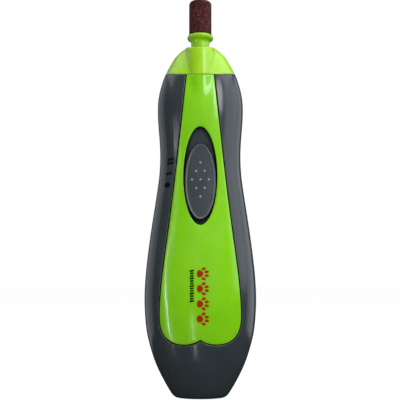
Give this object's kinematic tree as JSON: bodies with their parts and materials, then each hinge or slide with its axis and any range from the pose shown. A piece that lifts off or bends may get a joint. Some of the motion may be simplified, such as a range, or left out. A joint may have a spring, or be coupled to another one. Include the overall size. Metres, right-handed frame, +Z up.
{
  "type": "pet nail grinder",
  "caption": "Battery rotary nail grinder for pets: oval grey casing with green front panel and nose cap, thumb slide switch and sanding drum.",
  "frame": {"origin": "middle of the base that the tool stands on", "axes": "+Z up the long axis to the sanding drum, -Y is the front with the thumb switch, +X is to the right seen from the front"},
  "size_m": [0.0444, 0.039, 0.1603],
  "materials": {
    "shell_grey": "satin moulded",
    "panel_green": "glossy moulded",
    "cap_green": "glossy moulded",
    "slider_grey": "fine texture",
    "nub_grey": "soft matte",
    "abrasive_brown": "coarse grit on cloth",
    "rubber_black": "matte",
    "steel": "turned",
    "screw_steel": "black zinc",
    "nickel_plate": "plated sheet",
    "bronze": "sintered",
    "copper": "enamelled wire",
    "ferrite": "pressed powder",
    "lamination": "stacked sheet",
    "frame_white": "moulded",
    "motor_cap_plastic": "moulded",
    "cell_metal": "plated",
    "cell_wrap": "printed film",
    "board_fibre": "solder resist",
    "resistor_body": "lacquered",
    "lead_red": "insulation",
    "lead_black": "insulation",
    "lead_blue": "insulation",
    "foam": "open cell foam"
  },
  "bodies": {
    "casing": {"front_shell": "shell_grey", "rear_shell": "shell_grey", "front_panel": "panel_green", "nose_cap": "cap_green", "guard_collar": "cap_green", "nose_bush": "bronze", "shell_screws": "screw_steel", "chassis": "frame_white", "motor_clamp": "frame_white", "clamp_screws": "screw_steel", "motor_can": "nickel_plate", "motor_magnets": "ferrite", "motor_end_cap": "motor_cap_plastic", "motor_brushes": "copper", "motor_terminals": "nickel_plate", "motor_bush": "bronze", "battery_right": "cell_metal", "battery_left": "cell_metal", "battery_wraps": "cell_wrap", "contact_plate_positive": "nickel_plate", "contact_spring_negative": "nickel_plate", "bridge_contact": "nickel_plate", "detent_spring": "steel", "switch_board": "board_fibre", "board_contacts": "copper", "speed_resistor": "resistor_body", "lead_battery_positive": "lead_red", "lead_battery_negative": "lead_black", "lead_motor": "lead_blue"},
    "spindle": {"motor_shaft": "steel", "armature_core": "lamination", "armature_windings": "copper", "commutator": "copper", "chuck_sleeve": "steel"},
    "mandrel": {"mandrel_shank": "steel", "drum_core": "rubber_black", "drum_washer": "steel", "drum_screw": "screw_steel"},
    "sleeve": {"sanding_sleeve": "abrasive_brown"},
    "switch": {"slide_button": "slider_grey", "grip_nubs": "nub_grey", "switch_carriage": "frame_white", "switch_wiper": "copper"},
    "door": {"battery_door": "shell_grey", "door_foam_pad": "foam"}
  },
  "joints": [
    {"name": "spindle_spin", "type": "hinge", "parent": "casing", "child": "spindle", "pos_m": [0, 0, 0.13], "axis": [0, 0, 1], "continuous": true},
    {"name": "mandrel_pull", "type": "slide", "parent": "spindle", "child": "mandrel", "axis": [0, 0, 1], "range_m": [0, 0.022]},
    {"name": "sleeve_pull", "type": "slide", "parent": "mandrel", "child": "sleeve", "axis": [0, 0, 1], "range_m": [0, 0.0155]},
    {"name": "switch_slide", "type": "slide", "parent": "casing", "child": "switch", "axis": [0, 0, 1], "range_m": [0, 0.005]},
    {"name": "door_tilt", "type": "hinge", "parent": "casing", "child": "door", "pos_m": [0, 0.01308, 0.00815], "axis": [-1, 0, 0], "range_deg": [0, 70]}
  ]
}
